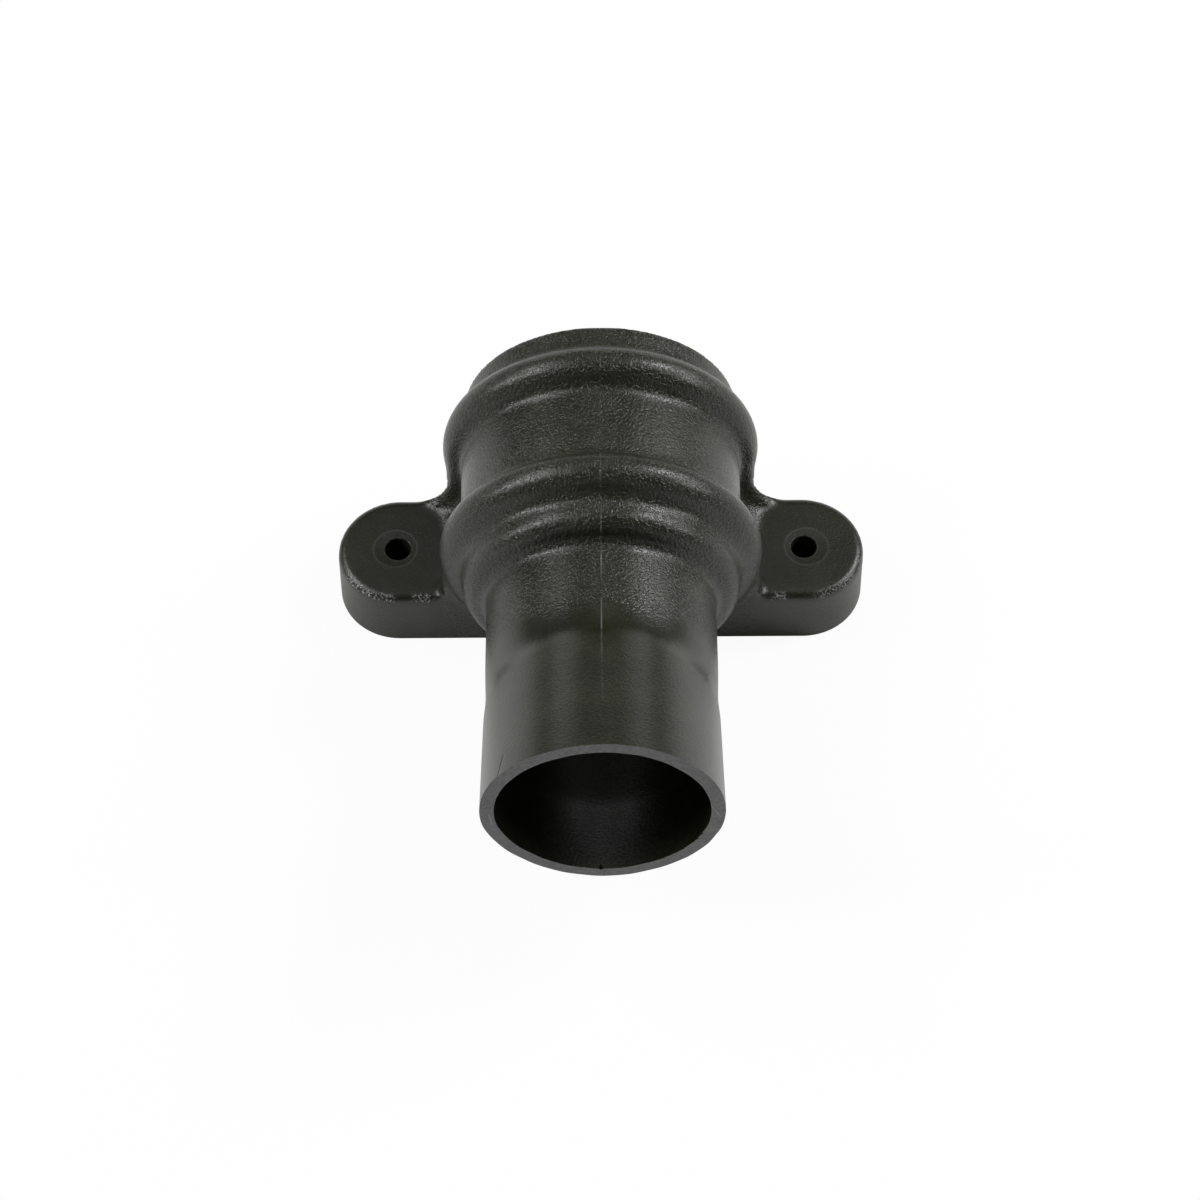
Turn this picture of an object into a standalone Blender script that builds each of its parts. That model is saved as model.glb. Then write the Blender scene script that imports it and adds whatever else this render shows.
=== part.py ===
"""A moulded downpipe shoe in one piece, in the old cast-iron style.

It lies on its back, as it would rest before it is screwed to a wall. The wall face is z = 0,
the socket opens along +Y, the spout leaves along -Y and bends up, away from the wall, and the
two ears reach out along X. The screw holes stand on the line y = 0. Lengths are in metres.
"""

import math

import bmesh
import bpy

# Driving sizes of the spout
SPOUT_RADIUS = 0.0340
SPOUT_WALL = 0.0040
SPOUT_STRAIGHT = 0.0150
BEND_RADIUS = 0.083
BEND_ANGLE = math.radians(20)
BEND_WAIST = 0.0004
WAIST_SKEW = 1.6
SPOUT_END_LENGTH = 0.0348
MOUTH_TILT = math.radians(3.1)

# Driving sizes of the socket, from its rim to the spout, each wall measured from the bore
SOCKET_CLEARANCE = 0.0034
RIM_WALL = 0.0046
RIM_ROUND = 0.0008
RIM_LENGTH = 0.0065
BEAD_HEIGHT = 0.0060
BEAD_CREST_ROUND = 0.0062
BEAD_ROOT_ROUND = 0.0036
BEAD_STEEPNESS = math.radians(65)
BARREL_WALL = 0.0050
BARREL_LENGTH = 0.0200
NECK_WALL = 0.0040
NECK_LENGTH = 0.0020
SHOULDER_ROUND = 0.0050
SHOULDER_ROOT_ROUND = 0.0030
SHOULDER_STEEPNESS = math.radians(80)

# Driving sizes of the ears, of the block that joins them behind the socket and of its side webs
AXIS_GAP_TO_WALL = 0.0020
HOLE_TO_BEAD = 0.0146
EAR_RADIUS = 0.0186
EAR_DEPTH = 0.0217
EAR_DRAFT = 0.0009
EAR_EDGE_ROUND = 0.0024
EAR_TO_FRONT_BEAD = 0.0173
WEB_ROOT_REAR = 0.0115
WEB_ROOT_FRONT = 0.0025
WEB_LEAN = 0.0003
SCREW_HOLE_RADIUS = 0.0040
SEAT_RADIUS = 0.0068
SEAT_DEPTH = 0.0004
SEAT_SHIFT = 0.0009

# Sizes that follow from the ones above
SOCKET_BORE_RADIUS = SPOUT_RADIUS + SOCKET_CLEARANCE
RIM_RADIUS = SOCKET_BORE_RADIUS + RIM_WALL
BARREL_RADIUS = SOCKET_BORE_RADIUS + BARREL_WALL
NECK_RADIUS = SOCKET_BORE_RADIUS + NECK_WALL
BEAD_RADIUS = BARREL_RADIUS + BEAD_HEIGHT
AXIS_HEIGHT = BARREL_RADIUS + AXIS_GAP_TO_WALL
HOLE_X = BEAD_RADIUS + HOLE_TO_BEAD

# How finely round shapes are divided, and how far cutters run past what they cut
AROUND = 64
ALONG_CREST = 5
ALONG_ROOT = 3
ALONG_BEND = 8
AROUND_EAR = 24
ALONG_EDGE = 4
ALONG_WEB = 28
ALONG_FILLET = 6
WEB_SINK = 0.00005
OVERRUN = 0.010
MERGE_DISTANCE = 1e-6

SHELL_COLOUR = (0.031, 0.033, 0.030, 1.0)
SHELL_ROUGHNESS = 0.5
SHARP_ANGLE = math.radians(30)


def clear_scene():
    """Start from nothing, so that only the shoe and its helpers are there."""
    for obj in list(bpy.data.objects):
        bpy.data.objects.remove(obj, do_unlink=True)


def ogee(height, crest_round, root_round, steepness):
    """A rounded crest running down into a rounded root, as (distance along, height above the root)."""
    rounds = crest_round + root_round
    slope = min(steepness, math.acos(max(-1.0, 1.0 - height / rounds)))
    straight = (height - rounds * (1 - math.cos(slope))) / math.sin(slope)
    length = rounds * math.sin(slope) + straight * math.cos(slope)
    points = []
    for step in range(ALONG_CREST + 1):
        angle = slope * step / ALONG_CREST
        points.append((crest_round * math.sin(angle), height - crest_round * (1 - math.cos(angle))))
    for step in range(ALONG_ROOT + 1):
        angle = slope * (1 - step / ALONG_ROOT)
        points.append((length - root_round * math.sin(angle), root_round * (1 - math.cos(angle))))
    return points


def bead_side(root_radius):
    """One side of a bead, down to the surface that it stands on."""
    return ogee(BEAD_RADIUS - root_radius, BEAD_CREST_ROUND, BEAD_ROOT_ROUND, BEAD_STEEPNESS)


def shoulder_side(crest_round, root_round):
    """The step from the neck down to the spout."""
    height = NECK_RADIUS - SPOUT_RADIUS
    return ogee(height, crest_round, root_round, SHOULDER_STEEPNESS)


def socket_profile():
    """The turned outside, as (y, radius), from the rim to the start of the plain spout."""
    front_bead_y = -EAR_TO_FRONT_BEAD
    towards_rear = bead_side(BARREL_RADIUS)
    rear_bead_y = front_bead_y + 2 * towards_rear[-1][0] + BARREL_LENGTH
    rim_side = bead_side(RIM_RADIUS)
    rim_y = rear_bead_y + rim_side[-1][0] + RIM_LENGTH
    points = []
    for step in range(ALONG_ROOT + 1):
        angle = math.pi / 2 * step / ALONG_ROOT
        y = rim_y - RIM_ROUND * (1 - math.cos(angle))
        points.append((y, RIM_RADIUS - RIM_ROUND * (1 - math.sin(angle))))
    points += [(rear_bead_y + along, RIM_RADIUS + up) for along, up in reversed(rim_side)]
    points += [(rear_bead_y - along, BARREL_RADIUS + up) for along, up in towards_rear[1:]]
    points += [(front_bead_y + along, BARREL_RADIUS + up) for along, up in reversed(towards_rear)]
    neck_side = bead_side(NECK_RADIUS)
    points += [(front_bead_y - along, NECK_RADIUS + up) for along, up in neck_side[1:]]
    shoulder_y = front_bead_y - neck_side[-1][0] - NECK_LENGTH
    shoulder = shoulder_side(SHOULDER_ROUND, SHOULDER_ROOT_ROUND)
    points += [(shoulder_y - along, SPOUT_RADIUS + up) for along, up in shoulder]
    return points


def bore_profile(outside):
    """The inside of the socket, a plain bore with a shoulder where the pipe stops."""
    rim_y = outside[0][0]
    wall = SPOUT_WALL
    root_y = outside[-1][0]
    bore_radius = SPOUT_RADIUS - wall
    height = SOCKET_BORE_RADIUS - bore_radius
    crest_round = max(SHOULDER_ROUND - wall, RIM_ROUND)
    stop = ogee(height, crest_round, SHOULDER_ROOT_ROUND + wall, SHOULDER_STEEPNESS)
    points = [(rim_y + OVERRUN, SOCKET_BORE_RADIUS)]
    points += [(root_y + stop[-1][0] - along, bore_radius + up) for along, up in stop]
    return points


def radius_at(profile, y):
    """The outside radius of the turned socket at one place along its axis."""
    for (y_behind, r_behind), (y_ahead, r_ahead) in zip(profile, profile[1:]):
        if y_ahead <= y <= y_behind and y_behind > y_ahead:
            share = (y_behind - y) / (y_behind - y_ahead)
            return r_behind + share * (r_ahead - r_behind)
    return SPOUT_RADIUS


def spout_path(start_y):
    """The spout's centre line, as (y, z, angle above -Y, share of the way round the bend)."""
    bend_y = start_y - SPOUT_STRAIGHT
    path = []
    for step in range(ALONG_BEND + 1):
        angle = BEND_ANGLE * step / ALONG_BEND
        y = bend_y - BEND_RADIUS * math.sin(angle)
        z = AXIS_HEIGHT + BEND_RADIUS * (1 - math.cos(angle))
        path.append((y, z, angle, step / ALONG_BEND))
    return path


def ring(mesh, centre_y, centre_z, angle, radius, slant=0.0):
    """One ring of the skin. A slant leans it along the axis, for the mouth's own plane."""
    corners = []
    for step in range(AROUND):
        turn = 2 * math.pi * step / AROUND
        up = radius * math.sin(turn)
        along = up * slant
        y = centre_y + up * math.sin(angle) - along * math.cos(angle)
        z = centre_z + up * math.cos(angle) + along * math.sin(angle)
        corners.append(mesh.verts.new((radius * math.cos(turn), y, z)))
    return corners


def close_skin(mesh, rings):
    """Faces from ring to ring, and one over each end."""
    count = len(rings[0])
    for behind, ahead in zip(rings, rings[1:]):
        for step in range(count):
            after = (step + 1) % count
            mesh.faces.new((behind[step], behind[after], ahead[after], ahead[step]))
    mesh.faces.new(rings[0])
    mesh.faces.new(rings[-1])


def add_object(name, mesh):
    bmesh.ops.remove_doubles(mesh, verts=mesh.verts, dist=MERGE_DISTANCE)
    bmesh.ops.recalc_face_normals(mesh, faces=mesh.faces)
    data = bpy.data.meshes.new(name)
    mesh.to_mesh(data)
    mesh.free()
    obj = bpy.data.objects.new(name, data)
    bpy.context.scene.collection.objects.link(obj)
    return obj


def add_helper(name, mesh):
    """A shape that is joined to the shoe or cut from it, and never drawn by itself."""
    helper = add_object(name, mesh)
    helper.hide_render = True
    helper.display_type = "WIRE"
    return helper


def waist_at(share):
    """How much narrower the spout is at one place round the bend, most just past its middle."""
    return BEND_WAIST * math.sin(math.pi * share**WAIST_SKEW) ** 2


def mouth_centre():
    """The middle of the mouth, at the end of the spout's straight stretch."""
    y, z, angle, _ = spout_path(socket_profile()[-1][0])[-1]
    return y - SPOUT_END_LENGTH * math.cos(angle), z + SPOUT_END_LENGTH * math.sin(angle)


def make_outside():
    """Socket, shoulder, bend and spout as one solid skin, ended by the plane of the mouth."""
    mesh = bmesh.new()
    profile = socket_profile()
    rings = [ring(mesh, y, AXIS_HEIGHT, 0.0, radius) for y, radius in profile]
    for y, z, angle, share in spout_path(profile[-1][0]):
        rings.append(ring(mesh, y, z, angle, SPOUT_RADIUS - waist_at(share)))
    y, z = mouth_centre()
    rings.append(ring(mesh, y, z, BEND_ANGLE, SPOUT_RADIUS, math.tan(BEND_ANGLE - MOUTH_TILT)))
    close_skin(mesh, rings)
    return add_object("downpipe_shoe", mesh)


def make_bore():
    """The waterway, run past the rim and past the mouth."""
    mesh = bmesh.new()
    profile = socket_profile()
    inner_radius = SPOUT_RADIUS - SPOUT_WALL
    rings = [ring(mesh, y, AXIS_HEIGHT, 0.0, radius) for y, radius in bore_profile(profile)]
    for y, z, angle, share in spout_path(profile[-1][0]):
        rings.append(ring(mesh, y, z, angle, inner_radius - waist_at(share)))
    y, z = mouth_centre()
    past = SPOUT_RADIUS * math.tan(BEND_ANGLE - MOUTH_TILT) + OVERRUN
    y -= past * math.cos(BEND_ANGLE)
    z += past * math.sin(BEND_ANGLE)
    rings.append(ring(mesh, y, z, BEND_ANGLE, inner_radius))
    close_skin(mesh, rings)
    return add_helper("waterway", mesh)


def ear_outline(mesh, z, radius):
    """The plan of both ears and the block between them at one height: straight sides, round ends."""
    corners = []
    for side in (1, -1):
        for step in range(AROUND_EAR + 1):
            angle = math.pi * (step / AROUND_EAR - 0.5)
            x = side * (HOLE_X + radius * math.cos(angle))
            corners.append(mesh.verts.new((x, side * radius * math.sin(angle), z)))
    return corners


def make_ear_block():
    """The ears and the stand-off block, wider at the wall by the mould's draft, with a round top edge."""
    mesh = bmesh.new()
    foot_radius = EAR_RADIUS + EAR_DRAFT * (1 + OVERRUN / EAR_DEPTH)
    levels = [ear_outline(mesh, -OVERRUN, foot_radius)]
    for step in range(ALONG_EDGE + 1):
        angle = math.pi / 2 * step / ALONG_EDGE
        z = EAR_DEPTH - EAR_EDGE_ROUND * (1 - math.sin(angle))
        levels.append(ear_outline(mesh, z, EAR_RADIUS - EAR_EDGE_ROUND * (1 - math.cos(angle))))
    close_skin(mesh, levels)
    return add_helper("ear_block", mesh)


def web_section(mesh, profile, y):
    """One slice of the webs: upright at the socket's widest line, with a fillet down to each ear."""
    from_end = EAR_RADIUS - abs(y)
    lost = max(0.0, EAR_EDGE_ROUND - from_end)
    inset = EAR_EDGE_ROUND - math.sqrt(EAR_EDGE_ROUND**2 - lost**2)
    share = (EAR_RADIUS - y) / (2 * EAR_RADIUS)
    root_round = WEB_ROOT_REAR + share * (WEB_ROOT_FRONT - WEB_ROOT_REAR)
    radius = radius_at(profile, y)
    centre_x = radius + root_round
    centre_z = EAR_DEPTH - WEB_SINK + root_round
    points = [(centre_x, EAR_DEPTH / 2)]
    for step in range(ALONG_FILLET + 1):
        angle = math.pi / 2 * step / ALONG_FILLET
        reach = root_round + inset * (1 - step / ALONG_FILLET)
        points.append((centre_x - reach * math.sin(angle), centre_z - reach * math.cos(angle)))
    points.append((radius - WEB_LEAN, AXIS_HEIGHT))
    outline = points + [(-x, z) for x, z in reversed(points)]
    return [mesh.verts.new((x, y, z)) for x, z in outline]


def make_webs():
    """The webs that carry the socket's sides straight down to the ears."""
    mesh = bmesh.new()
    profile = socket_profile()
    sections = []
    for step in range(ALONG_WEB + 1):
        y = EAR_RADIUS * math.sin(math.pi * (step / ALONG_WEB - 0.5))
        sections.append(web_section(mesh, profile, y))
    close_skin(mesh, sections)
    return add_helper("webs", mesh)


def cylinder(mesh, x, radius, low, high):
    made = bmesh.ops.create_cone(
        mesh, cap_ends=True, segments=AROUND // 2, radius1=radius, radius2=radius, depth=high - low
    )
    bmesh.ops.translate(mesh, verts=made["verts"], vec=(x, 0.0, (low + high) / 2))


def make_holes(name, x, radius, low):
    mesh = bmesh.new()
    for side in (-1, 1):
        cylinder(mesh, side * x, radius, low, EAR_DEPTH + OVERRUN)
    return add_helper(name, mesh)


def make_wall_side():
    """Everything behind the wall face, which flattens the backs of the beads."""
    mesh = bmesh.new()
    made = bmesh.ops.create_cube(mesh, size=1.0)
    width = 2 * (HOLE_X + EAR_RADIUS + OVERRUN)
    mouth_y, _ = mouth_centre()
    length = 2 * (socket_profile()[0][0] - mouth_y)
    depth = BEAD_RADIUS + OVERRUN
    bmesh.ops.scale(mesh, verts=made["verts"], vec=(width, length, depth))
    bmesh.ops.translate(mesh, verts=made["verts"], vec=(0.0, 0.0, -depth / 2))
    return add_helper("wall_side", mesh)


def add_boolean(obj, helper, operation):
    modifier = obj.modifiers.new(helper.name, "BOOLEAN")
    modifier.operation = operation
    modifier.solver = "EXACT"
    modifier.object = helper


def shell_material():
    material = bpy.data.materials.new("black_plastic")
    material.use_nodes = True
    shader = material.node_tree.nodes["Principled BSDF"]
    shader.inputs["Base Color"].default_value = SHELL_COLOUR
    shader.inputs["Roughness"].default_value = SHELL_ROUGHNESS
    shader.inputs["Metallic"].default_value = 0.0
    return material


def make_shoe():
    shoe = make_outside()
    add_boolean(shoe, make_ear_block(), "UNION")
    add_boolean(shoe, make_webs(), "UNION")
    add_boolean(shoe, make_bore(), "DIFFERENCE")
    add_boolean(shoe, make_holes("screw_holes", HOLE_X, SCREW_HOLE_RADIUS, -OVERRUN), "DIFFERENCE")
    seat_x = HOLE_X + SEAT_SHIFT
    add_boolean(shoe, make_holes("screw_seats", seat_x, SEAT_RADIUS, EAR_DEPTH - SEAT_DEPTH), "DIFFERENCE")
    add_boolean(shoe, make_wall_side(), "DIFFERENCE")
    shoe.data.materials.append(shell_material())
    shoe.data.shade_smooth()
    shoe.data.set_sharp_from_angle(angle=SHARP_ANGLE)
    return shoe


clear_scene()
make_shoe()
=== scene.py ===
# %% [markdown]
# # A downpipe shoe, moulded in black plastic
#
# A downpipe shoe is the last fitting of a rainwater pipe. The pipe drops into its socket, two ears are
# screwed to the wall, and the spout throws the water clear of the building. This one is a single
# plastic moulding in the old cast-iron style, so the scene has one piece, and the work lies in its
# round forms, in the soft roots between them and in its sand-cast grain.

# %% Load the frame
import math

import bmesh
import bpy
from mathutils import Matrix, Vector


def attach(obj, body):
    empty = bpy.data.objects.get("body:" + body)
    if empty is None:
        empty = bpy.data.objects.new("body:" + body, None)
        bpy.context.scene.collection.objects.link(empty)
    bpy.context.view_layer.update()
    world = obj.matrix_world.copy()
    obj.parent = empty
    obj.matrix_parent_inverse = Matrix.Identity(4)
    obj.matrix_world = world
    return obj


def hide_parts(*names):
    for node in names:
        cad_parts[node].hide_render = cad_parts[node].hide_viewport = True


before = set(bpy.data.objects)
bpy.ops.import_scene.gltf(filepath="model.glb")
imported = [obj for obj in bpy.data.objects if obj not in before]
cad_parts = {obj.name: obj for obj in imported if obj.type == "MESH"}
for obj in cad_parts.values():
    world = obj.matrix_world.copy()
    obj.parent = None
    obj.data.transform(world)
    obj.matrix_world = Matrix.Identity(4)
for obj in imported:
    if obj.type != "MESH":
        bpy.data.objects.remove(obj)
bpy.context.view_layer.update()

# %% [markdown]
# ## Sizes
#
# The shoe lies on its back. The wall face is z = 0, the socket opens along +Y, the spout leaves along
# -Y and bends up. All sizes are in metres and start from the standard 68 mm pipe. The walls of the
# socket are measured from its bore, because that is how such a fitting is designed: the pipe first,
# then a gap, then plastic round it.

# %% Sizes of the real shoe
MM = 0.001
SPOUT_RADIUS = 34.0 * MM
SPOUT_WALL = 4.0 * MM
SPOUT_STRAIGHT = 15.0 * MM
BEND_RADIUS = 83.0 * MM
BEND_ANGLE = math.radians(20)
BEND_WAIST = 0.4 * MM
WAIST_SKEW = 1.6
SPOUT_END_LENGTH = 34.8 * MM
MOUTH_TILT = math.radians(3.1)

BORE_RADIUS = SPOUT_RADIUS + 3.4 * MM
RIM_RADIUS = BORE_RADIUS + 4.6 * MM
BARREL_RADIUS = BORE_RADIUS + 5.0 * MM
NECK_RADIUS = BORE_RADIUS + 4.0 * MM
BEAD_RADIUS = BARREL_RADIUS + 6.0 * MM
RIM_ROUND = 0.8 * MM
RIM_LENGTH = 6.5 * MM
BEAD_CREST_ROUND = 6.2 * MM
BEAD_ROOT_ROUND = 3.6 * MM
BEAD_STEEPNESS = math.radians(65)
BARREL_LENGTH = 20.0 * MM
NECK_LENGTH = 2.0 * MM
SHOULDER_ROUND = 5.0 * MM
SHOULDER_ROOT_ROUND = 3.0 * MM
SHOULDER_STEEPNESS = math.radians(80)
FRONT_BEAD_Y = -17.3 * MM

AXIS_HEIGHT = BARREL_RADIUS + 2.0 * MM
HOLE_X = BEAD_RADIUS + 14.6 * MM
EAR_RADIUS = 18.6 * MM
EAR_DEPTH = 21.7 * MM
EAR_DRAFT = 0.86 * MM
EAR_EDGE_ROUND = 2.4 * MM
WEB_ROOT_REAR = 11.5 * MM
WEB_ROOT_FRONT = 2.5 * MM
HOLE_RADIUS = 4.0 * MM
HOLE_EDGE = 0.2 * MM
SEAT_RADIUS = 6.8 * MM
SEAT_SLOPE = 1.2 * MM
SEAT_DEPTH = 0.2 * MM
SEAT_SHIFT = 0.9 * MM
print("Beads", round(2 * BEAD_RADIUS / MM, 1), "mm across")
print("Screw holes", round(2 * HOLE_X / MM, 1), "mm apart")

# %% [markdown]
# ## The profile of the socket
#
# A cast socket is turned in its pattern on a lathe: rim, bead, barrel, bead, neck and shoulder follow
# each other along one line. Each step between two diameters is an ogee, a rounded crest that runs
# down into a rounded root. One small function draws it, and the profile is a chain of five of them.
# The bore has its own line, with a stop where the pipe's end rests.

# %% Draw the profile
CREST_STEPS = 14
ROOT_STEPS = 9


def ogee(height, crest_round, root_round, steepness):
    """A crest running down into a root, as (distance along, height above the root)."""
    rounds = crest_round + root_round
    slope = min(steepness, math.acos(1.0 - height / rounds)) if height < 2 * rounds else steepness
    straight = (height - rounds * (1 - math.cos(slope))) / math.sin(slope)
    length = rounds * math.sin(slope) + straight * math.cos(slope)
    points = []
    for step in range(CREST_STEPS + 1):
        turn = slope * step / CREST_STEPS
        points.append((crest_round * math.sin(turn), height - crest_round * (1 - math.cos(turn))))
    for step in range(ROOT_STEPS + 1):
        turn = slope * (1 - step / ROOT_STEPS)
        points.append((length - root_round * math.sin(turn), root_round * (1 - math.cos(turn))))
    return points


def bead_side(root_radius):
    return ogee(BEAD_RADIUS - root_radius, BEAD_CREST_ROUND, BEAD_ROOT_ROUND, BEAD_STEEPNESS)


to_barrel = bead_side(BARREL_RADIUS)
to_rim = bead_side(RIM_RADIUS)
to_neck = bead_side(NECK_RADIUS)
to_spout = ogee(NECK_RADIUS - SPOUT_RADIUS, SHOULDER_ROUND, SHOULDER_ROOT_ROUND, SHOULDER_STEEPNESS)
REAR_BEAD_Y = FRONT_BEAD_Y + 2 * to_barrel[-1][0] + BARREL_LENGTH
RIM_Y = REAR_BEAD_Y + to_rim[-1][0] + RIM_LENGTH
SHOULDER_Y = FRONT_BEAD_Y - to_neck[-1][0] - NECK_LENGTH
SPOUT_Y = SHOULDER_Y - to_spout[-1][0]

socket_line = []
for step in range(ROOT_STEPS + 1):
    turn = math.pi / 2 * step / ROOT_STEPS
    rim_y = RIM_Y - RIM_ROUND * (1 - math.cos(turn))
    socket_line.append((rim_y, RIM_RADIUS - RIM_ROUND * (1 - math.sin(turn))))
socket_line += [(REAR_BEAD_Y + along, RIM_RADIUS + up) for along, up in reversed(to_rim)]
socket_line += [(REAR_BEAD_Y - along, BARREL_RADIUS + up) for along, up in to_barrel[1:]]
socket_line += [(FRONT_BEAD_Y + along, BARREL_RADIUS + up) for along, up in reversed(to_barrel)]
socket_line += [(FRONT_BEAD_Y - along, NECK_RADIUS + up) for along, up in to_neck[1:]]
socket_line += [(SHOULDER_Y - along, SPOUT_RADIUS + up) for along, up in to_spout]

BORE_END_RADIUS = SPOUT_RADIUS - SPOUT_WALL
stop_line = ogee(
    BORE_RADIUS - BORE_END_RADIUS,
    SHOULDER_ROUND - SPOUT_WALL,
    SHOULDER_ROOT_ROUND + SPOUT_WALL,
    SHOULDER_STEEPNESS,
)
print("Profile of", len(socket_line), "points, rim at y =", round(RIM_Y / MM, 2), "mm")

# %% [markdown]
# ## The pipe's skin
#
# A pipe that bends is made as by hand: a circle is added at one end, extruded from station to
# station along the centre line, and scaled or turned at each. The same helper draws the outside and
# the tool that later cuts the bore, so the wall between them keeps its thickness.

# %% The centre line and the helper that sweeps a circle along it
AROUND = 192
BEND_STEPS = 30


def centre_line():
    """The spout's centre line, as (y, z, angle above -Y, how much narrower it is there)."""
    stations = []
    for step in range(BEND_STEPS + 1):
        share = step / BEND_STEPS
        angle = BEND_ANGLE * share
        y = SPOUT_Y - SPOUT_STRAIGHT - BEND_RADIUS * math.sin(angle)
        z = AXIS_HEIGHT + BEND_RADIUS * (1 - math.cos(angle))
        stations.append((y, z, angle, BEND_WAIST * math.sin(math.pi * share**WAIST_SKEW) ** 2))
    return stations


BEND_END = centre_line()[-1]
MOUTH = Vector(
    (
        0.0,
        BEND_END[0] - SPOUT_END_LENGTH * math.cos(BEND_ANGLE),
        BEND_END[1] + SPOUT_END_LENGTH * math.sin(BEND_ANGLE),
    )
)
MOUTH_NORMAL = Vector((0.0, -math.cos(MOUTH_TILT), math.sin(MOUTH_TILT)))
SPOUT_AXIS = Vector((0.0, -math.cos(BEND_ANGLE), math.sin(BEND_ANGLE)))


def start_piece():
    """Nothing is selected, so the next operator acts on the new piece alone."""
    if bpy.context.object and bpy.context.object.mode != "OBJECT":
        bpy.ops.object.mode_set(mode="OBJECT")
    bpy.ops.object.select_all(action="DESELECT")


def place_in_mesh(name):
    """The active object keeps its place in its mesh, and its own origin goes to the frame's."""
    piece = bpy.context.object
    piece.name = name
    piece.data.name = name
    bpy.ops.object.transform_apply(location=True, rotation=True, scale=True)
    return piece


def sweep(name, stations):
    """A closed round bar through (y, z, lean, radius) stations."""
    start_piece()
    y, z, lean, radius = stations[0]
    bpy.ops.mesh.primitive_circle_add(
        vertices=AROUND, radius=radius, fill_type="NGON", location=(0, y, z), rotation=(math.pi / 2, 0, 0)
    )
    piece = place_in_mesh(name)
    bpy.ops.object.mode_set(mode="EDIT")
    bpy.ops.mesh.select_all(action="SELECT")
    for next_y, next_z, next_lean, next_radius in stations[1:]:
        bpy.ops.mesh.extrude_region_move(TRANSFORM_OT_translate={"value": (0, next_y - y, next_z - z)})
        centre = (0, next_y, next_z)
        if next_radius != radius:
            bpy.ops.transform.resize(value=(next_radius / radius,) * 3, center_override=centre)
        if next_lean != lean:
            bpy.ops.transform.rotate(value=next_lean - lean, orient_axis="X", center_override=centre)
        y, z, lean, radius = next_y, next_z, next_lean, next_radius
    bpy.ops.mesh.select_all(action="SELECT")
    bpy.ops.mesh.normals_make_consistent(inside=False)
    bpy.ops.object.mode_set(mode="OBJECT")
    return piece


PAST = 12.0 * MM
AFTER_MOUTH = MOUTH + SPOUT_AXIS * 2 * PAST
outside = [(y, AXIS_HEIGHT, 0.0, radius) for y, radius in socket_line]
outside += [(y, z, angle, SPOUT_RADIUS - waist) for y, z, angle, waist in centre_line()]
outside.append((AFTER_MOUTH.y, AFTER_MOUTH.z, BEND_ANGLE, SPOUT_RADIUS))
shoe = sweep("moulded_shoe", outside)

bore_line = [(RIM_Y + PAST, BORE_RADIUS)]
bore_line += [(SHOULDER_Y - along, BORE_END_RADIUS + up) for along, up in stop_line]
waterway = [(y, AXIS_HEIGHT, 0.0, radius) for y, radius in bore_line]
waterway += [(y, z, angle, BORE_END_RADIUS - waist) for y, z, angle, waist in centre_line()]
bore_end = AFTER_MOUTH + SPOUT_AXIS * PAST
waterway.append((bore_end.y, bore_end.z, BEND_ANGLE, BORE_END_RADIUS))
bore = sweep("bore_cutter", waterway)
print("Outside skin:", len(shoe.data.vertices), "points; bore:", len(bore.data.vertices), "points")

# %% [markdown]
# ## The ears
#
# Both ears and the block between them are one flat bar with round ends, a little wider at the wall,
# so that it leaves its mould. A cone frustum has that taper already. Its two halves are pulled apart
# to the screw holes, which makes the bar, and a bevel rounds the front edge.

# %% Pull a frustum apart into the bar with two ears
EAR_AROUND = 128
EDGE_STEPS = 8
SAME_LEVEL = 0.01 * MM
foot_radius = EAR_RADIUS + EAR_DRAFT * (1 + PAST / EAR_DEPTH)
start_piece()
bpy.ops.mesh.primitive_cone_add(
    vertices=EAR_AROUND,
    radius1=foot_radius,
    radius2=EAR_RADIUS,
    depth=EAR_DEPTH + PAST,
    location=(0, 0, (EAR_DEPTH - PAST) / 2),
    rotation=(0, 0, math.pi / EAR_AROUND),
)
ears = place_in_mesh("ear_bar")
bpy.ops.object.mode_set(mode="EDIT")
for side in (-1, 1):
    bpy.ops.mesh.select_all(action="DESELECT")
    mesh = bmesh.from_edit_mesh(ears.data)
    for point in mesh.verts:
        point.select_set(0 < side * point.co.x < HOLE_X)
    mesh.select_flush_mode()
    bpy.ops.transform.translate(value=(side * HOLE_X, 0, 0))
bpy.ops.mesh.select_all(action="DESELECT")
mesh = bmesh.from_edit_mesh(ears.data)
for edge in mesh.edges:
    edge.select_set(all(abs(point.co.z - EAR_DEPTH) < SAME_LEVEL for point in edge.verts))
bpy.ops.mesh.bevel(offset=EAR_EDGE_ROUND, segments=EDGE_STEPS, affect="EDGES")
bpy.ops.object.mode_set(mode="OBJECT")
print("Bar over both ears", [round(v / MM, 1) for v in ears.dimensions])

# %% [markdown]
# ## The webs
#
# Beside the socket the moulding runs straight down to each ear, so the beads and the barrel between
# them look upright from the front, and a cove leads out onto the ear, wide at the rear and narrow at
# the front. Its slices change shape as well as size, so this form is lofted: the end face is extruded
# slice by slice, and its corners are laid on each new slice.

# %% Loft the webs
WEB_STEPS = 72
COVE_STEPS = 16
WEB_LEAN = 0.3 * MM
WEB_SINK = 0.05 * MM


def radius_at(y):
    """The socket's outside radius at one place along its axis."""
    for (y_behind, r_behind), (y_ahead, r_ahead) in zip(socket_line, socket_line[1:]):
        if y_ahead <= y <= y_behind and y_behind > y_ahead:
            share = (y_behind - y) / (y_behind - y_ahead)
            return r_behind + share * (r_ahead - r_behind)
    return SPOUT_RADIUS


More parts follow.
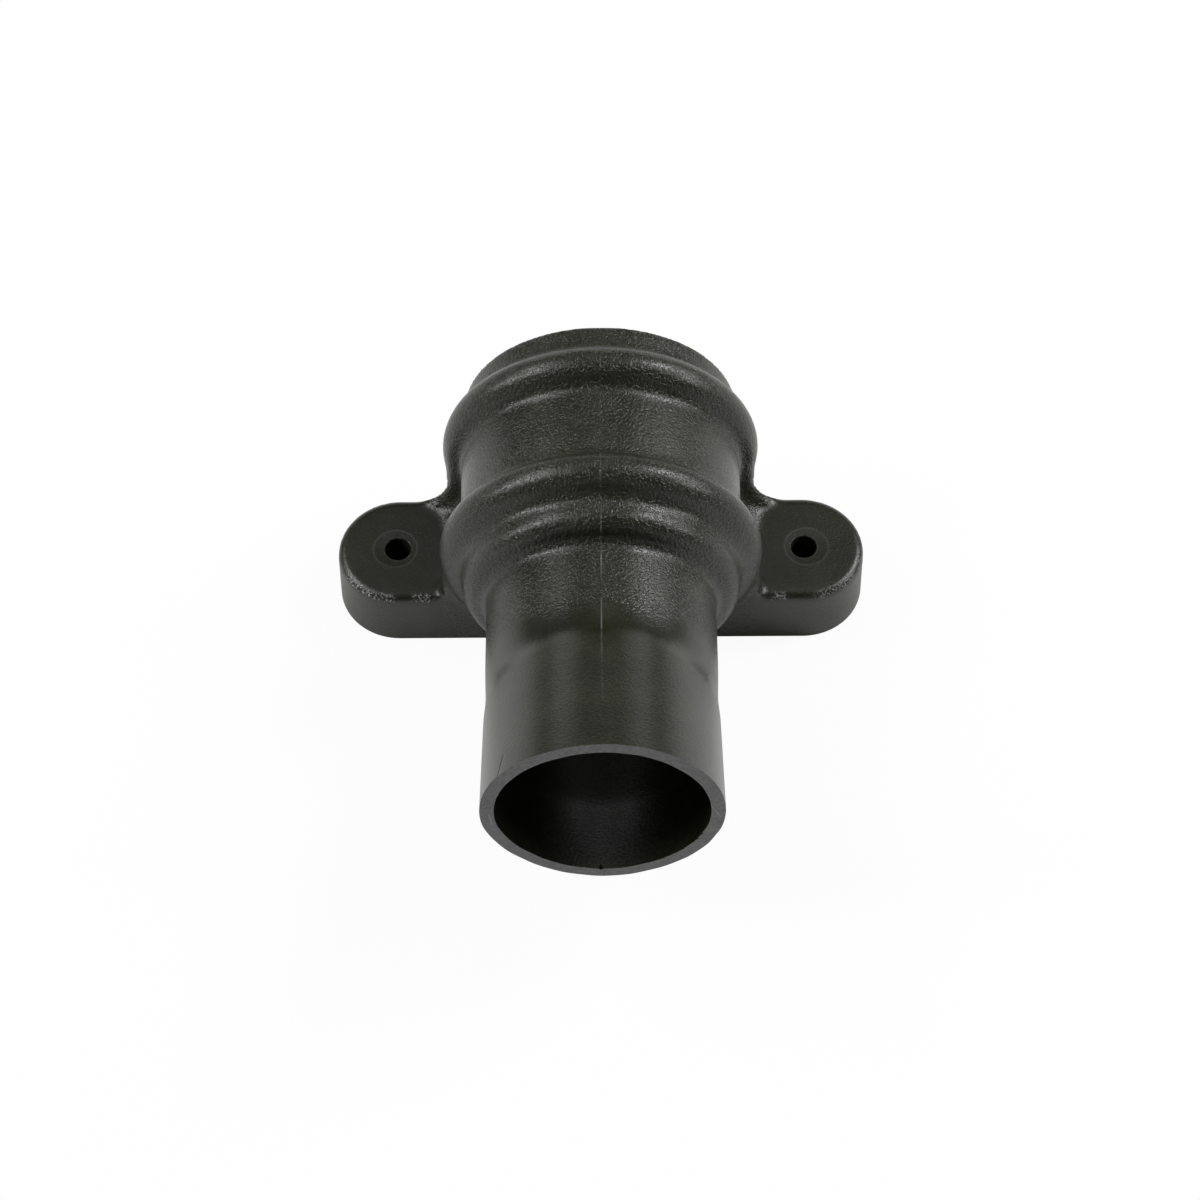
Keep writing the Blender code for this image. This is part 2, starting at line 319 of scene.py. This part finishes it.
def web_slice(y):
    lost = max(0.0, EAR_EDGE_ROUND - (EAR_RADIUS - abs(y)))
    inset = EAR_EDGE_ROUND - math.sqrt(EAR_EDGE_ROUND**2 - lost**2)
    share = (EAR_RADIUS - y) / (2 * EAR_RADIUS)
    cove = WEB_ROOT_REAR + share * (WEB_ROOT_FRONT - WEB_ROOT_REAR)
    radius = radius_at(y)
    foot_x = radius + cove
    foot_z = EAR_DEPTH - WEB_SINK + cove
    half = [(foot_x, EAR_DEPTH / 2)]
    for step in range(COVE_STEPS + 1):
        turn = math.pi / 2 * step / COVE_STEPS
        reach = cove + inset * (1 - step / COVE_STEPS)
        half.append((foot_x - reach * math.sin(turn), foot_z - reach * math.cos(turn)))
    half.append((radius - WEB_LEAN, AXIS_HEIGHT))
    corners = half + [(-x, z) for x, z in reversed(half)]
    return [(x, y, z) for x, z in corners]


def loft(name, slices):
    """A closed solid through slices that all have the same number of corners."""
    start_piece()
    bpy.ops.mesh.primitive_circle_add(vertices=len(slices[0]), fill_type="NGON")
    piece = place_in_mesh(name)
    bpy.ops.object.mode_set(mode="EDIT")
    bpy.ops.mesh.select_all(action="SELECT")
    for number, corners in enumerate(slices):
        if number:
            bpy.ops.mesh.extrude_region_move()
        mesh = bmesh.from_edit_mesh(piece.data)
        end_face = next(face for face in mesh.faces if face.select)
        for point, place in zip(end_face.verts, corners):
            point.co = place
        bmesh.update_edit_mesh(piece.data)
    bpy.ops.mesh.select_all(action="SELECT")
    bpy.ops.mesh.normals_make_consistent(inside=False)
    bpy.ops.object.mode_set(mode="OBJECT")
    return piece


web_places = [EAR_RADIUS * math.sin(math.pi * (step / WEB_STEPS - 0.5)) for step in range(WEB_STEPS + 1)]
webs = loft("webs", [web_slice(y) for y in web_places])
print("Webs", [round(v / MM, 1) for v in webs.dimensions])

# %% [markdown]
# ## One skin
#
# A moulding has no joints, so its forms must melt into each other. The three solids are joined and
# remeshed with small voxels, which leaves one even skin over all of them. A Smooth modifier then
# works only where the socket runs into the bar, through a vertex group that fades out from the
# root, and turns the hard line there into the soft root of a casting.

# %% Join the solids and remesh them
VOXEL = 0.9 * MM
start_piece()
for part in (ears, webs, shoe):
    part.select_set(True)
bpy.context.view_layer.objects.active = shoe
bpy.ops.object.join()
remesh = shoe.modifiers.new("one_skin", "REMESH")
remesh.mode = "VOXEL"
remesh.voxel_size = VOXEL
remesh.adaptivity = 0.0
bpy.ops.object.modifier_apply(modifier=remesh.name)
print("One skin of", len(shoe.data.polygons), "faces")

# %% Soften the roots
ROOT_REACH = 3.2 * MM
ROOT_STRENGTH = 1.6
ROOT_PASSES = 24
EVEN_PASSES = 2
SMOOTHING = 0.5


def root_share(place):
    """1 where the turned socket meets the bar's front or rear wall, 0 away from it."""
    if place.z > (AXIS_HEIGHT if place.y < 0 else EAR_DEPTH - ROOT_REACH):
        return 0.0
    out = math.hypot(place.x, place.z - AXIS_HEIGHT)
    wall_y = EAR_RADIUS + EAR_DRAFT * max(0.0, 1 - place.z / EAR_DEPTH)
    from_wall = abs(abs(place.y) - wall_y)
    from_socket = abs(out - radius_at(place.y))
    return max(0.0, 1 - (from_wall + from_socket) / ROOT_REACH)


roots = shoe.vertex_groups.new(name="roots")
for point in shoe.data.vertices:
    share = root_share(point.co)
    if share > 0:
        roots.add([point.index], min(1.0, ROOT_STRENGTH * share), "REPLACE")
soften = shoe.modifiers.new("soft_roots", "SMOOTH")
soften.factor = SMOOTHING
soften.iterations = ROOT_PASSES
soften.vertex_group = roots.name
bpy.ops.object.modifier_apply(modifier=soften.name)
even = shoe.modifiers.new("even_skin", "SMOOTH")
even.factor = SMOOTHING
even.iterations = EVEN_PASSES
bpy.ops.object.modifier_apply(modifier=even.name)
print("Roots softened")

# %% [markdown]
# ## The seam
#
# The mould opens along the middle of the shoe, and a fine ridge of plastic is left there from the rim
# almost to the mouth. It is far thinner than a voxel, so it comes after the remesh: a strip is lofted
# along the top of the profile, half sunk in the wall, and united with it after the cuts.

# %% Loft the seam along the top of the shoe
SEAM_HALF_WIDTH = 0.26 * MM
SEAM_LOW = 0.05 * MM
SEAM_HIGH = 0.13 * MM
SEAM_SHOULDER = 0.1 * MM
SEAM_SINK = 0.8 * MM
SEAM_TRIM = 1.2 * MM
SEAM_PLAIN = ((-12, -22), (-34, -72))
SEAM_CREST = 0.5
SAME_PLACE = 0.001 * MM
SEAM_END_Y = -94.0 * MM


def seam_height(y):
    """Plain on the front bead's crest and the upper pipe, faint elsewhere."""
    plain = any(near * MM > y > far * MM for near, far in SEAM_PLAIN)
    return SEAM_HIGH if plain else SEAM_LOW


def seam_slice(place, along):
    """The strip's outline at one place, upright on the skin there."""
    up = Vector((0.0, along.z, -along.y)).normalized()
    top = seam_height(place.y)
    half = [(1, -SEAM_SINK), (1, top - SEAM_SHOULDER), (SEAM_CREST, top)]
    corners = []
    for across, rise in half + [(-x, rise) for x, rise in reversed(half)]:
        corner = place + up * rise
        corners.append((across * SEAM_HALF_WIDTH, corner.y, corner.z))
    return corners


top_line = [Vector((0.0, y, AXIS_HEIGHT + radius)) for y, radius in socket_line if y < RIM_Y - SEAM_TRIM]
for y, z, angle, waist in centre_line():
    reach = SPOUT_RADIUS - waist
    top_line.append(Vector((0.0, y + reach * math.sin(angle), z + reach * math.cos(angle))))
for step in range(1, BEND_STEPS + 1):
    top_line.append(top_line[-1] + SPOUT_AXIS * (SPOUT_END_LENGTH + PAST) / BEND_STEPS)
distinct = [
    here for before, here in zip(top_line, top_line[1:]) if (here - before).length > SAME_PLACE
]
top_line = [top_line[0]] + [here for here in distinct if here.y > SEAM_END_Y]
seam_slices = []
for number, here in enumerate(top_line):
    before = top_line[max(number - 1, 0)]
    after = top_line[min(number + 1, len(top_line) - 1)]
    seam_slices.append(seam_slice(here, after - before))
seam_strip = loft("seam_strip", seam_slices)
print("Seam of", len(seam_slices), "slices")

# %% [markdown]
# ## Cuts
#
# What is sawn or bored stays crisp, so it comes after the remesh: a bisect for the flat wall side, and
# Booleans for the mouth, the bore, the two screw holes and the shallow ring round each. The real mouth
# is sawn by hand, so the tool that cuts it isn't a plane: its face is a fan whose edge is pushed in
# where the saw went deeper. A few chips then break the inner edge of the cut.

# %% Cut the wall side flat
start_piece()
shoe.select_set(True)
bpy.context.view_layer.objects.active = shoe
bpy.ops.object.mode_set(mode="EDIT")
bpy.ops.mesh.select_all(action="SELECT")
bpy.ops.mesh.bisect(
    plane_co=(0, 0, 0), plane_no=(0, 0, -1), use_fill=True, clear_outer=True, threshold=SAME_PLACE
)
bpy.ops.object.mode_set(mode="OBJECT")

# %% The saw cut of the mouth
CUT_AROUND = 256
CUT_RADIUS = 50.0 * MM
CUT_LEAST = 0.08
CUT_DENTS = ((227, 26, 0.6), (206, 9, 0.45), (312, 20, 0.25), (338, 7, 0.4), (75, 22, 0.25))
CUT_RIPPLES = ((5, 0.6, 0.06), (11, 2.1, 0.05), (23, 4.0, 0.04))
MOUTH_UP = Vector((0.0, math.sin(MOUTH_TILT), math.cos(MOUTH_TILT)))


def saw_depth(turn):
    """How much deeper than its plane the saw went, at one angle round the mouth."""
    depth = CUT_LEAST
    for middle, spread, deepest in CUT_DENTS:
        away = (math.degrees(turn) - middle + 180) % 360 - 180
        depth += deepest * math.exp(-((away / spread) ** 2))
    for waves, shift, most in CUT_RIPPLES:
        depth += most * math.sin(waves * turn + shift)
    return depth * MM


start_piece()
bpy.ops.mesh.primitive_cylinder_add(
    vertices=CUT_AROUND,
    radius=CUT_RADIUS,
    depth=4 * PAST,
    end_fill_type="TRIFAN",
    location=MOUTH + MOUTH_NORMAL * 2 * PAST,
    rotation=(math.pi / 2 - MOUTH_TILT, 0, 0),
)
saw = place_in_mesh("saw_cutter")
for point in saw.data.vertices:
    out = point.co - MOUTH
    if abs(out.dot(MOUTH_NORMAL)) < PAST and out.length > PAST:
        turn = math.atan2(out.dot(MOUTH_UP), out.x)
        point.co -= MOUTH_NORMAL * saw_depth(turn) * CUT_RADIUS / SPOUT_RADIUS
deepest_mark = max(saw_depth(math.radians(degrees)) for degrees in range(360))
print("Deepest saw mark", round(deepest_mark / MM, 2), "mm")

# %% Chips on the inner edge of the cut
CHIPS = (
    (-23, 0.55),
    (-28, 0.45),
    (-41, 0.4),
    (-50, 0.35),
    (-55, 0.5),
    (-64, 0.4),
    (219, 0.35),
    (234, 0.3),
)
NICK_TURN = math.radians(269)
NICK_SIZE = 0.7 * MM


def on_inner_edge(turn):
    """A place on the inner edge of the mouth, which is an oval because the cut is askew."""
    rise = BORE_END_RADIUS / math.cos(BEND_ANGLE - MOUTH_TILT)
    return MOUTH + Vector((BORE_END_RADIUS * math.cos(turn), 0, 0)) + MOUTH_UP * rise * math.sin(turn)


chips = []
for degrees, size in CHIPS:
    turn = math.radians(degrees)
    start_piece()
    bpy.ops.mesh.primitive_ico_sphere_add(
        subdivisions=1,
        radius=size * MM,
        location=on_inner_edge(turn) - MOUTH_NORMAL * saw_depth(turn),
        rotation=(turn, 1, 2),
    )
    chips.append(place_in_mesh("chip"))
start_piece()
bpy.ops.mesh.primitive_cylinder_add(
    vertices=4,
    radius=NICK_SIZE,
    depth=6 * NICK_SIZE,
    location=on_inner_edge(NICK_TURN),
    rotation=(math.pi / 2, 0, 0),
)
chips.append(place_in_mesh("nick"))
for chip in chips:
    chip.select_set(True)
bpy.ops.object.join()
chip_cutter = bpy.context.object
print("Chips and nick:", len(chips))

# %% Bore the waterway and the screw holes
HOLE_AROUND = 64
SEAT_CLEAR = 0.3 * MM
SMOOTH_ANGLE = math.radians(35)


def round_cutter(name, x, low, low_radius, high, high_radius):
    start_piece()
    bpy.ops.mesh.primitive_cone_add(
        vertices=HOLE_AROUND,
        radius1=low_radius,
        radius2=high_radius,
        depth=high - low,
        location=(x, 0, (high + low) / 2),
    )
    return place_in_mesh(name)


SEAT_HEIGHT = EAR_DEPTH - SEAT_DEPTH
seat_foot = SEAT_RADIUS - SEAT_SLOPE
seat_top = EAR_DEPTH + SEAT_CLEAR
seat_top_radius = SEAT_RADIUS + SEAT_SLOPE * SEAT_CLEAR / SEAT_DEPTH
edge_foot = SEAT_HEIGHT - HOLE_EDGE
edge_top = SEAT_HEIGHT + PAST
edge_top_radius = HOLE_RADIUS + HOLE_EDGE + PAST
cutters = [bore, saw, chip_cutter]
for side in (-1, 1):
    hole_x = side * HOLE_X
    seat_x = side * (HOLE_X + SEAT_SHIFT)
    cutters += [
        round_cutter("hole_cutter", hole_x, -PAST, HOLE_RADIUS, EAR_DEPTH + PAST, HOLE_RADIUS),
        round_cutter("seat_cutter", seat_x, SEAT_HEIGHT, seat_foot, seat_top, seat_top_radius),
        round_cutter("edge_cutter", hole_x, edge_foot, HOLE_RADIUS, edge_top, edge_top_radius),
    ]
start_piece()
shoe.select_set(True)
bpy.context.view_layer.objects.active = shoe
for cutter in cutters + [seam_strip]:
    cut = shoe.modifiers.new(cutter.name, "BOOLEAN")
    cut.operation = "UNION" if cutter == seam_strip else "DIFFERENCE"
    cut.solver = "EXACT"
    cut.object = cutter
    bpy.ops.object.modifier_apply(modifier=cut.name)
    bpy.data.objects.remove(cutter, do_unlink=True)
bpy.ops.object.shade_smooth_by_angle(angle=SMOOTH_ANGLE)
shoe.data.calc_loop_triangles()
solid = bmesh.new()
solid.from_mesh(shoe.data)
print("Bored and cut:", len(shoe.data.loop_triangles), "triangles")
print("Volume", round(solid.calc_volume() / MM**3 / 1000, 1), "cm3")
solid.free()

# %% [markdown]
# ## Black plastic with a sand-cast grain
#
# The mould is etched so that the plastic looks like sand-cast iron: small worm-shaped grains, crisp on
# the socket, finer below the bend and nearly smooth on the ears. All of it is one black plastic with a
# slight olive tint. The finish is built from the place on the object, so every mark stays where the
# real one has it, and two small classes keep the node trees short. The light line on the seam and the
# light rings round the screw holes are painted highlights, and the light specks on the ears' front
# edges are partly wear and partly painted highlight.

# %% Small classes for shader maths and materials


class Maths:
    """One socket of a material, or a number, with the operators that the finishes need."""

    def __init__(self, maker, socket):
        self.maker = maker
        self.socket = socket

    def join(self, operation, *others):
        values = [self.socket] + [o.socket if isinstance(o, Maths) else o for o in others]
        return self.maker.node("ShaderNodeMath", {"operation": operation}, dict(enumerate(values)))

    def other(self, name):
        """Another output of the same node."""
        return Maths(self.maker, self.socket.node.outputs[name])

    def __add__(self, other):
        return self.join("ADD", other)

    __radd__ = __add__

    def __mul__(self, other):
        return self.join("MULTIPLY", other)

    def __sub__(self, other):
        return self.join("SUBTRACT", other)

    def __rsub__(self, other):
        return (self * -1) + other

    def size(self):
        return self.join("ABSOLUTE")

    def root(self):
        return self.join("SQRT")

    def most(self, other):
        return self.join("MAXIMUM", other)

    def reach(self, other):
        """The distance that two parts at right angles make."""
        return (self * self + other * other).root()

    def ramp(self, low, high):
        """0 at low, 1 at high, smooth between; low may be the greater."""
        settings = {"interpolation_type": "SMOOTHSTEP", "clamp": True}
        limits = {"Value": self, "From Min": min(low, high), "From Max": max(low, high)}
        rising = self.maker.node("ShaderNodeMapRange", settings, limits)
        return rising if low < high else 1 - rising


class Finish:
    """A material whose nodes are made by a few short methods."""

    def __init__(self, name):
        self.material = bpy.data.materials.new(name)
        self.material.use_nodes = True
        self.tree = self.material.node_tree
        self.tree.nodes.clear()
        self.out = self.tree.nodes.new("ShaderNodeOutputMaterial")

    def feed(self, socket, value):
        value = value.socket if isinstance(value, Maths) else value
        if isinstance(value, bpy.types.NodeSocket):
            self.tree.links.new(value, socket)
        else:
            socket.default_value = value

    def node(self, kind, settings=None, inputs=None, output=0):
        made = self.tree.nodes.new(kind)
        for name, value in (settings or {}).items():
            setattr(made, name, value)
        for name, value in (inputs or {}).items():
            self.feed(made.inputs[name], value)
        return Maths(self, made.outputs[output])

    def mix(self, share, first, second):
        """A colour between two others."""
        return self.node("ShaderNodeMix", {"data_type": "RGBA"}, {0: share, 6: first, 7: second}, 2)

    def noise(self, place, scale, detail=2.0, roughness=0.5):
        settings = {"Vector": place, "Scale": scale, "Detail": detail, "Roughness": roughness}
        return self.node("ShaderNodeTexNoise", None, settings)

    def show(self, shader):
        self.tree.links.new(shader.socket, self.out.inputs["Surface"])


# %% Where on the shoe each finish lies
OLIVE = (1.05, 1.12, 0.60)


def grey(level, tint=(1.0, 1.0, 1.0)):
    return (level * tint[0], level * tint[1], level * tint[2], 1.0)


plastic = Finish("black_plastic_grained")
place = plastic.node("ShaderNodeTexCoord", None, None, 3)
x = plastic.node("ShaderNodeSeparateXYZ", None, {"Vector": place})
y = x.other("Y")
z = x.other("Z")
skin_normal = plastic.node("ShaderNodeNewGeometry").other("True Normal")
both_normals = {0: skin_normal, 1: tuple(MOUTH_NORMAL)}
facing = plastic.node("ShaderNodeVectorMath", {"operation": "DOT_PRODUCT"}, both_normals, 1)
before_mouth = (y - MOUTH.y) * MOUTH_NORMAL.y + (z - MOUTH.z) * MOUTH_NORMAL.z
sawn = facing.ramp(0.80, 0.92) * before_mouth.ramp(-3.0 * MM, -2.0 * MM)

block = z.ramp(EAR_DEPTH + 1.2 * MM, EAR_DEPTH + 0.3 * MM)
block = block * x.size().ramp(BEAD_RADIUS - 2 * MM, BEAD_RADIUS + MM)
below_bend = y.ramp(-51 * MM, -59 * MM)
from_ear = (x.size() - HOLE_X).most(0.0).reach(y)
ear_edge = from_ear.ramp(EAR_RADIUS - 2.8 * MM, EAR_RADIUS - 1.0 * MM)
ear_edge = ear_edge * z.ramp(EAR_DEPTH - 2.4 * MM, EAR_DEPTH - 1.4 * MM)
ear_edge = ear_edge * z.ramp(EAR_DEPTH + 0.5 * MM, EAR_DEPTH)


def line_mark(across, along, start, end, width):
    """1 on a straight scratch from start to end, both given as (across, along) in millimetres."""
    slope = (end[0] - start[0]) / (end[1] - start[1])
    beside = (across - start[0] * MM) - (along - start[1] * MM) * slope
    low = min(start[1], end[1]) * MM
    high = max(start[1], end[1]) * MM
    ends = along.ramp(low - MM, low) * along.ramp(high + MM, high)
    return beside.size().ramp(width, 0.3 * width) * ends


def ear_ring(centre_x, radius):
    """1 on a thin ring round a point of each ear's top face."""
    away = (x.size() - centre_x).reach(y)
    return (away - radius).size().ramp(0.5 * MM, 0.1 * MM) * z.ramp(EAR_DEPTH - MM, EAR_DEPTH - 0.5 * MM)


# %% Wear and painted highlights on the ears' edges, the painted highlight on the seam, and the scratches
# Spots on the ears' front top edges that get light specks: partly real wear, partly a painted highlight
# where the rounded edge catches the lamps.
WEAR_AND_SHEEN_SPOTS = (
    (-76.5, -12.0, 5.0, 1.0),
    (-72.0, -15.6, 4.5, 1.0),
    (-66.5, -18.0, 4.0, 0.8),
    (-55.0, -17.8, 4.5, 0.8),
    (54.8, -18.0, 3.4, 1.0),
    (69.5, -16.2, 5.5, 0.5),
    (75.5, -11.8, 5.5, 0.5),
    (79.8, -4.5, 5.5, 0.4),
)
speck = plastic.noise(place, 1600.0, 2.0, 0.7).ramp(0.50, 0.62)
worn_and_sheen = 0.0
for spot_x, spot_y, reach, strength in WEAR_AND_SHEEN_SPOTS:
    away = (x - spot_x * MM).reach(y - spot_y * MM)
    worn_and_sheen = worn_and_sheen + away.ramp(reach * MM, 0.3 * reach * MM) * strength
worn_and_sheen = worn_and_sheen * ear_edge * speck
# Painted highlights: a thin light line on the edge of each screw seat, and light specks on the rim of
# each hole.
seat_ring_highlight = ear_ring(HOLE_X + SEAT_SHIFT, SEAT_RADIUS)
hole_rim_highlight = ear_ring(HOLE_X, HOLE_RADIUS + HOLE_EDGE)
patchy = plastic.noise(place, 90.0, 2.0, 0.6)
# Painted highlight along the seam's crest, strongest on the front bead's crest and the upper pipe where
# the lamps catch it; the ridge itself is real geometry.
seam_highlight = x.size().ramp(SEAM_HALF_WIDTH * 1.1, SEAM_HALF_WIDTH * 0.5)
seam_highlight = seam_highlight * z.ramp(AXIS_HEIGHT, AXIS_HEIGHT + 20 * MM)
seam_highlight = seam_highlight * patchy.ramp(0.36, 0.60) * y.ramp(-80 * MM, -62 * MM)
on_bead = y.ramp(-23 * MM, -21 * MM) * y.ramp(-10 * MM, -14 * MM)
seam_highlight = seam_highlight * (y.ramp(-30 * MM, -33 * MM) + on_bead + 0.12)
scratch = line_mark(x, y, (-26.9, -105.8), (-28.0, -111.4), 0.35 * MM) * z.ramp(70 * MM, 74 * MM)
left_streak = line_mark(x, z, (-31.4, 60.6), (-30.8, 55.9), 0.4 * MM)
right_streak = line_mark(x, z, (29.9, 64.6), (32.4, 59.1), 0.4 * MM)
rim_line = line_mark(x, z, (0.4, 25.0), (0.2, 31.0), 0.35 * MM)
olive_patch = (x + 4.6 * MM).reach(y + 73.4 * MM).ramp(9 * MM, 2 * MM) * patchy.ramp(0.4, 0.7)
print("Marks placed:", len(WEAR_AND_SHEEN_SPOTS), "worn spots, seam, scratch, saw streaks")

# %% The plastic itself
DARK = grey(0.008, OLIVE)
LESS_DARK = grey(0.021, OLIVE)
OLIVE_STAIN = (0.026, 0.028, 0.016, 1.0)
GRAIN_SCALE = 1200.0
FINE_GRAIN_SCALE = 3000.0
GRAIN_DEPTH = 0.15 * MM
SKIN_ROUGHNESS = 0.30
worms = plastic.noise(place, GRAIN_SCALE, 1.0, 0.5).ramp(0.42, 0.58)
fine = plastic.noise(place, FINE_GRAIN_SCALE, 1.0, 0.5)
mottle = plastic.noise(place, 70.0, 3.0, 0.6)
colour = plastic.mix(mottle.ramp(0.35, 0.7) * 0.5 + fine.ramp(0.35, 0.65) * 0.5, DARK, LESS_DARK)
colour = plastic.mix(olive_patch * 0.5, colour, OLIVE_STAIN)
# The seam's painted highlight.
colour = plastic.mix(seam_highlight * 0.7, colour, grey(0.12))
colour = plastic.mix(scratch * 0.8, colour, grey(0.004))
# Painted highlights round the screw holes.
colour = plastic.mix(seat_ring_highlight * 0.35 + hole_rim_highlight * speck * 0.6, colour, grey(0.08))
saw_marks = plastic.noise(place, 900.0, 3.0, 0.6).ramp(0.3, 0.7)
sawn_colour = plastic.mix(saw_marks, grey(0.075), grey(0.125))
sawn_colour = plastic.mix((left_streak + right_streak) * 0.6, sawn_colour, grey(0.22))
sawn_colour = plastic.mix(rim_line * 0.6, sawn_colour, grey(0.04))
colour = plastic.mix(sawn, colour, sawn_colour)
# Light specks on the ears' front top edges: partly wear, partly painted highlight.
colour = plastic.mix(worn_and_sheen.join("MINIMUM", 1.0), colour, grey(0.36))
grained = (1 - block * 0.8) * (1 - below_bend * 0.85) * (1 - sawn * 0.8)
height = (worms * 0.7 + fine * 0.3) * grained - scratch + worn_and_sheen * 0.5
bump = plastic.node("ShaderNodeBump", None, {"Height": height, "Distance": GRAIN_DEPTH, "Strength": 1.0})
roughness = sawn * 0.25 + block * 0.05 - below_bend * 0.02 + SKIN_ROUGHNESS
look = {"Base Color": colour, "Roughness": roughness, "Normal": bump, "IOR": 1.5}
plastic.show(plastic.node("ShaderNodeBsdfPrincipled", None, look))
shoe.data.materials.clear()
shoe.data.materials.append(plastic.material)
print("Grain", GRAIN_DEPTH / MM, "mm deep,", len(plastic.tree.nodes), "nodes")

# %% [markdown]
# ## The studio
#
# The photo was taken on white paper with soft boxes, and the shoe throws only a thin soft shadow. The
# paper is matt where light falls on it, so it keeps that shadow, and white where the camera or a
# reflection sees it. Close to the shoe the paper lies in its shade, so reflections of it fade there.

# %% Floor
GLOW_TO_CAMERA = 0.94
GLOW_IN_REFLECTIONS = 0.85
SHADE_REACH = 32 * MM
FLOOR_SIZE = 6.0
start_piece()
bpy.ops.mesh.primitive_plane_add(size=FLOOR_SIZE)
floor = place_in_mesh("floor")
paper = Finish("white_paper")
seen_by = paper.node("ShaderNodeLightPath")
floor_place = paper.node("ShaderNodeTexCoord", None, None, 3)
floor_x = paper.node("ShaderNodeSeparateXYZ", None, {"Vector": floor_place})
floor_y = floor_x.other("Y")
from_bar = (floor_x.size() - HOLE_X).most(0.0).reach(floor_y) - EAR_RADIUS
beside_pipe = (floor_x.size() - SPOUT_RADIUS).most(0.0)
past_pipe = ((floor_y - MOUTH.y / 2).size() + MOUTH.y / 2).most(0.0)
from_pipe = beside_pipe.reach(past_pipe)
open_paper = from_bar.ramp(0.0, SHADE_REACH) * from_pipe.ramp(0.0, SHADE_REACH)
reflected = seen_by.other("Is Glossy Ray").most(seen_by.other("Is Transmission Ray"))
glow_share = (seen_by * GLOW_TO_CAMERA).most(reflected * open_paper * GLOW_IN_REFLECTIONS)
matt = paper.node("ShaderNodeBsdfDiffuse", None, {"Color": grey(0.9)})
glow = paper.node("ShaderNodeEmission", None, {"Color": grey(1.0), "Strength": 1.0})
paper.show(paper.node("ShaderNodeMixShader", None, {0: glow_share, 1: matt, 2: glow}))
floor.data.materials.append(paper.material)
print("Floor of", FLOOR_SIZE, "m, shade reaching", round(SHADE_REACH / MM), "mm")

# %% [markdown]
# ## Light and camera
#
# The bright bands on the beads and the pipe are reflections, so they tell where the lamps stood: tall
# soft boxes on both sides, a little behind the shoe and high up, with the right one stronger, and
# nothing in front, which leaves every surface that faces the camera dark. The boxes are listed by
# their bearing from straight behind the shoe, their height above the floor as an angle, and watts.

# %% Soft boxes and a dark world
BOX_DISTANCE = 1.2
BOX_WIDTH = 0.35
BOX_HEIGHT = 0.30
AIM = Vector((0.0, -0.03, 0.04))
WORLD_STRENGTH = 0.02
BOXES = (
    ("right_high", 68, 48, 6.7),
    ("right_side", 95, 30, 3.3),
    ("right_rear", 68, 30, 2.0),
    ("right_top", 95, 66, 0.7),
    ("left_high", -68, 48, 2.8),
    ("left_side_high", -95, 48, 3.5),
    ("left_side", -95, 30, 3.9),
    ("left_top", -95, 66, 0.7),
    ("rear_low", 0, 12, 0.5),
    ("rear_low_right", 22, 12, 0.5),
    ("rear_low_left", -22, 12, 0.5),
    ("rear_top", 0, 66, 0.5),
    ("front_right", 160, 20, 0.3),
    ("front_left", -160, 20, 0.3),
)
world = bpy.data.worlds.new("studio")
bpy.context.scene.world = world
world.use_nodes = True
world.node_tree.nodes["Background"].inputs["Color"].default_value = grey(1.0)
world.node_tree.nodes["Background"].inputs["Strength"].default_value = WORLD_STRENGTH
for name, bearing, height_angle, watts in BOXES:
    lamp = bpy.data.lights.new(name, "AREA")
    lamp.shape = "RECTANGLE"
    lamp.size = BOX_WIDTH
    lamp.size_y = BOX_HEIGHT
    lamp.energy = watts
    box = bpy.data.objects.new(name, lamp)
    bpy.context.scene.collection.objects.link(box)
    around = math.radians(bearing)
    above = math.radians(height_angle)
    level = BOX_DISTANCE * math.cos(above)
    box.location = (level * math.sin(around), level * math.cos(around), BOX_DISTANCE * math.sin(above))
    box.rotation_euler = (AIM - box.location).to_track_quat("-Z", "Y").to_euler()
print("Soft boxes:", len(BOXES))

# %% The camera
FOCAL_PIXELS = 2630.8
FRAME_PIXELS = 1200
SENSOR = 36.0
PITCH = math.radians(58.15)
ROLL = math.radians(0.34)
camera = bpy.data.cameras.new("camera")
camera.sensor_width = SENSOR
camera.lens = SENSOR * FOCAL_PIXELS / FRAME_PIXELS
camera.clip_start = 0.01
holder = bpy.data.objects.new("camera", camera)
bpy.context.scene.collection.objects.link(holder)
holder.location = (-0.00037, -0.44538, 0.70769)
turn = Matrix.Rotation(math.pi / 2 - PITCH, 3, "X") @ Matrix.Rotation(-ROLL, 3, "Z")
holder.rotation_euler = turn.to_euler()
bpy.context.scene.camera = holder
bpy.context.scene.view_settings.view_transform = "Standard"
print("Lens", round(camera.lens, 1), "mm")

# %% Hand over
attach(shoe, "root")
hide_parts("downpipe_shoe")
